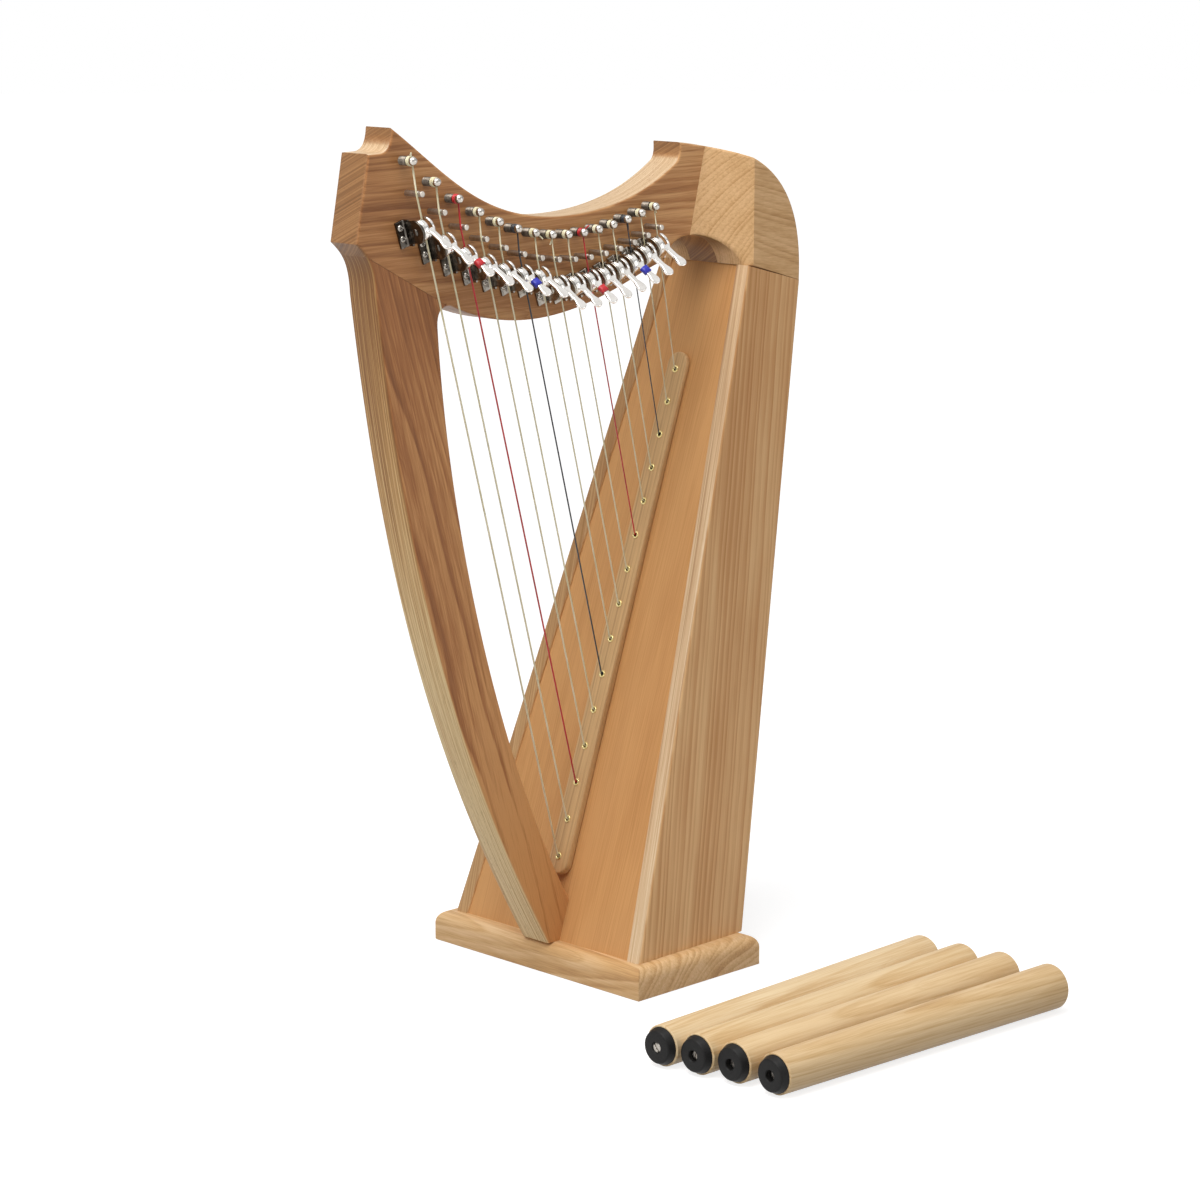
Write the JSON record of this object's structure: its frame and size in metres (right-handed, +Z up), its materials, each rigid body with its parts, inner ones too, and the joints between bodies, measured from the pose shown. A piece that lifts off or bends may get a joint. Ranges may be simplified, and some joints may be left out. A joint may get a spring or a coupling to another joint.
{
  "type": "small lever harp",
  "caption": "Small Celtic lap harp with a curved pillar and neck, a tapered soundbox on a plinth, sharping levers on its strings, and loose legs with rubber feet beside it.",
  "frame": {"origin": "centre of the plinth's underside", "axes": "+X from the pillar to the soundbox, +Z up; the strings and levers are on the -Y side of the neck"},
  "size_m": [0.3972, 0.4323, 0.6002],
  "materials": {
    "ash": "satin",
    "soundboard_wood": "satin",
    "bracket_steel": "satin",
    "chrome": "polished",
    "pin_steel": "satin",
    "brass": "satin",
    "nylon_natural": "gloss",
    "nylon_red": "gloss",
    "nylon_black": "gloss",
    "sleeve_red": "satin",
    "sleeve_blue": "satin",
    "black_rubber": "matte"
  },
  "bodies": {
    "harp": {"base": "ash", "side_left": "ash", "side_right": "ash", "neck": "ash", "shoulder_left": "ash", "shoulder_right": "ash", "pillar": "ash", "string_rib": "ash", "soundboard": "soundboard_wood", "back_panel": "soundboard_wood", "base_inserts": "brass", "bridge_pins": "pin_steel", "string_eyelets": "brass", "strings_natural": "nylon_natural", "strings_red": "nylon_red", "strings_black": "nylon_black", "lever_brackets": "bracket_steel", "lever_screws": "chrome"},
    "lever_01_body": {"lever_01": "chrome"},
    "lever_02_body": {"lever_02": "chrome"},
    "lever_03_body": {"lever_03": "chrome", "sleeve_03": "sleeve_red"},
    "lever_04_body": {"lever_04": "chrome"},
    "lever_05_body": {"lever_05": "chrome"},
    "lever_06_body": {"lever_06": "chrome", "sleeve_06": "sleeve_blue"},
    "lever_07_body": {"lever_07": "chrome"},
    "lever_08_body": {"lever_08": "chrome"},
    "lever_09_body": {"lever_09": "chrome"},
    "lever_10_body": {"lever_10": "chrome", "sleeve_10": "sleeve_red"},
    "lever_11_body": {"lever_11": "chrome"},
    "lever_12_body": {"lever_12": "chrome"},
    "lever_13_body": {"lever_13": "chrome", "sleeve_13": "sleeve_blue"},
    "lever_14_body": {"lever_14": "chrome"},
    "lever_15_body": {"lever_15": "chrome"},
    "tuning_pin_01_body": {"tuning_pin_01": "pin_steel"},
    "tuning_pin_02_body": {"tuning_pin_02": "pin_steel"},
    "tuning_pin_03_body": {"tuning_pin_03": "pin_steel"},
    "tuning_pin_04_body": {"tuning_pin_04": "pin_steel"},
    "tuning_pin_05_body": {"tuning_pin_05": "pin_steel"},
    "tuning_pin_06_body": {"tuning_pin_06": "pin_steel"},
    "tuning_pin_07_body": {"tuning_pin_07": "pin_steel"},
    "tuning_pin_08_body": {"tuning_pin_08": "pin_steel"},
    "tuning_pin_09_body": {"tuning_pin_09": "pin_steel"},
    "tuning_pin_10_body": {"tuning_pin_10": "pin_steel"},
    "tuning_pin_11_body": {"tuning_pin_11": "pin_steel"},
    "tuning_pin_12_body": {"tuning_pin_12": "pin_steel"},
    "tuning_pin_13_body": {"tuning_pin_13": "pin_steel"},
    "tuning_pin_14_body": {"tuning_pin_14": "pin_steel"},
    "tuning_pin_15_body": {"tuning_pin_15": "pin_steel"},
    "leg_1_body": {"leg_1": "ash", "foot_1": "black_rubber"},
    "leg_2_body": {"leg_2": "ash", "foot_2": "black_rubber"},
    "leg_3_body": {"leg_3": "ash", "foot_3": "black_rubber"},
    "leg_4_body": {"leg_4": "ash", "foot_4": "black_rubber"}
  },
  "joints": [
    {"name": "lever_01_flip", "type": "hinge", "parent": "harp", "child": "lever_01_body", "pos_m": [-0.18192, -0.02477, 0.53503], "axis": [-0.9533, 0, -0.3019], "range_deg": [0, 65]},
    {"name": "lever_02_flip", "type": "hinge", "parent": "harp", "child": "lever_02_body", "pos_m": [-0.16272, -0.02477, 0.52375], "axis": [-0.9524, 0, -0.3047], "range_deg": [0, 65]},
    {"name": "lever_03_flip", "type": "hinge", "parent": "harp", "child": "lever_03_body", "pos_m": [-0.1442, -0.02476, 0.5145], "axis": [-0.9514, 0, -0.3078], "range_deg": [0, 65]},
    {"name": "lever_04_flip", "type": "hinge", "parent": "harp", "child": "lever_04_body", "pos_m": [-0.12632, -0.02476, 0.50715], "axis": [-0.9503, 0, -0.3112], "range_deg": [0, 65]},
    {"name": "lever_05_flip", "type": "hinge", "parent": "harp", "child": "lever_05_body", "pos_m": [-0.10906, -0.02475, 0.50158], "axis": [-0.9491, 0, -0.3149], "range_deg": [0, 65]},
    {"name": "lever_06_flip", "type": "hinge", "parent": "harp", "child": "lever_06_body", "pos_m": [-0.09239, -0.02474, 0.49766], "axis": [-0.9477, 0, -0.319], "range_deg": [0, 65]},
    {"name": "lever_07_flip", "type": "hinge", "parent": "harp", "child": "lever_07_body", "pos_m": [-0.07626, -0.02474, 0.49527], "axis": [-0.9462, 0, -0.3236], "range_deg": [0, 65]},
    {"name": "lever_08_flip", "type": "hinge", "parent": "harp", "child": "lever_08_body", "pos_m": [-0.05857, -0.02411, 0.48827], "axis": [-0.9444, 0, -0.3287], "range_deg": [0, 70]},
    {"name": "lever_09_flip", "type": "hinge", "parent": "harp", "child": "lever_09_body", "pos_m": [-0.04338, -0.02402, 0.48847], "axis": [-0.9424, 0, -0.3345], "range_deg": [0, 70]},
    {"name": "lever_10_flip", "type": "hinge", "parent": "harp", "child": "lever_10_body", "pos_m": [-0.02864, -0.02392, 0.48983], "axis": [-0.94, 0, -0.3411], "range_deg": [0, 70]},
    {"name": "lever_11_flip", "type": "hinge", "parent": "harp", "child": "lever_11_body", "pos_m": [-0.01432, -0.0238, 0.49224], "axis": [-0.9372, 0, -0.3488], "range_deg": [0, 70]},
    {"name": "lever_12_flip", "type": "hinge", "parent": "harp", "child": "lever_12_body", "pos_m": [-0.0004, -0.02366, 0.49557], "axis": [-0.9338, 0, -0.3578], "range_deg": [0, 70]},
    {"name": "lever_13_flip", "type": "hinge", "parent": "harp", "child": "lever_13_body", "pos_m": [0.01318, -0.0235, 0.49971], "axis": [-0.9296, 0, -0.3686], "range_deg": [0, 70]},
    {"name": "lever_14_flip", "type": "hinge", "parent": "harp", "child": "lever_14_body", "pos_m": [0.02644, -0.02329, 0.50453], "axis": [-0.9242, 0, -0.382], "range_deg": [0, 70]},
    {"name": "lever_15_flip", "type": "hinge", "parent": "harp", "child": "lever_15_body", "pos_m": [0.03942, -0.02303, 0.50993], "axis": [-0.917, 0, -0.399], "range_deg": [0, 70]},
    {"name": "tuning_pin_01_turn", "type": "hinge", "parent": "harp", "child": "tuning_pin_01_body", "pos_m": [-0.19084, 0, 0.57886], "axis": [0, -1, 0], "continuous": true},
    {"name": "tuning_pin_02_turn", "type": "hinge", "parent": "harp", "child": "tuning_pin_02_body", "pos_m": [-0.17014, 0, 0.56428], "axis": [0, -1, 0], "continuous": true},
    {"name": "tuning_pin_03_turn", "type": "hinge", "parent": "harp", "child": "tuning_pin_03_body", "pos_m": [-0.1505, 0, 0.55223], "axis": [0, -1, 0], "continuous": true},
    {"name": "tuning_pin_04_turn", "type": "hinge", "parent": "harp", "child": "tuning_pin_04_body", "pos_m": [-0.13183, 0, 0.54251], "axis": [0, -1, 0], "continuous": true},
    {"name": "tuning_pin_05_turn", "type": "hinge", "parent": "harp", "child": "tuning_pin_05_body", "pos_m": [-0.11405, 0, 0.53494], "axis": [0, -1, 0], "continuous": true},
    {"name": "tuning_pin_06_turn", "type": "hinge", "parent": "harp", "child": "tuning_pin_06_body", "pos_m": [-0.09706, 0, 0.52933], "axis": [0, -1, 0], "continuous": true},
    {"name": "tuning_pin_07_turn", "type": "hinge", "parent": "harp", "child": "tuning_pin_07_body", "pos_m": [-0.08078, 0, 0.52549], "axis": [0, -1, 0], "continuous": true},
    {"name": "tuning_pin_08_turn", "type": "hinge", "parent": "harp", "child": "tuning_pin_08_body", "pos_m": [-0.06511, 0, 0.52325], "axis": [0, -1, 0], "continuous": true},
    {"name": "tuning_pin_09_turn", "type": "hinge", "parent": "harp", "child": "tuning_pin_09_body", "pos_m": [-0.04998, 0, 0.5224], "axis": [0, -1, 0], "continuous": true},
    {"name": "tuning_pin_10_turn", "type": "hinge", "parent": "harp", "child": "tuning_pin_10_body", "pos_m": [-0.03528, 0, 0.52277], "axis": [0, -1, 0], "continuous": true},
    {"name": "tuning_pin_11_turn", "type": "hinge", "parent": "harp", "child": "tuning_pin_11_body", "pos_m": [-0.02094, 0, 0.52416], "axis": [0, -1, 0], "continuous": true},
    {"name": "tuning_pin_12_turn", "type": "hinge", "parent": "harp", "child": "tuning_pin_12_body", "pos_m": [-0.00686, 0, 0.52639], "axis": [0, -1, 0], "continuous": true},
    {"name": "tuning_pin_13_turn", "type": "hinge", "parent": "harp", "child": "tuning_pin_13_body", "pos_m": [0.00704, 0, 0.52928], "axis": [0, -1, 0], "continuous": true},
    {"name": "tuning_pin_14_turn", "type": "hinge", "parent": "harp", "child": "tuning_pin_14_body", "pos_m": [0.02085, 0, 0.53263], "axis": [0, -1, 0], "continuous": true},
    {"name": "tuning_pin_15_turn", "type": "hinge", "parent": "harp", "child": "tuning_pin_15_body", "pos_m": [0.03466, 0, 0.53626], "axis": [0, -1, 0], "continuous": true},
    {"name": "leg_1_lift", "type": "slide", "parent": "harp", "child": "leg_1_body", "axis": [0, 0, 1], "range_m": [0, 0.12]},
    {"name": "leg_2_lift", "type": "slide", "parent": "harp", "child": "leg_2_body", "axis": [0, 0, 1], "range_m": [0, 0.12]},
    {"name": "leg_3_lift", "type": "slide", "parent": "harp", "child": "leg_3_body", "axis": [0, 0, 1], "range_m": [0, 0.12]},
    {"name": "leg_4_lift", "type": "slide", "parent": "harp", "child": "leg_4_body", "axis": [0, 0, 1], "range_m": [0, 0.12]}
  ]
}
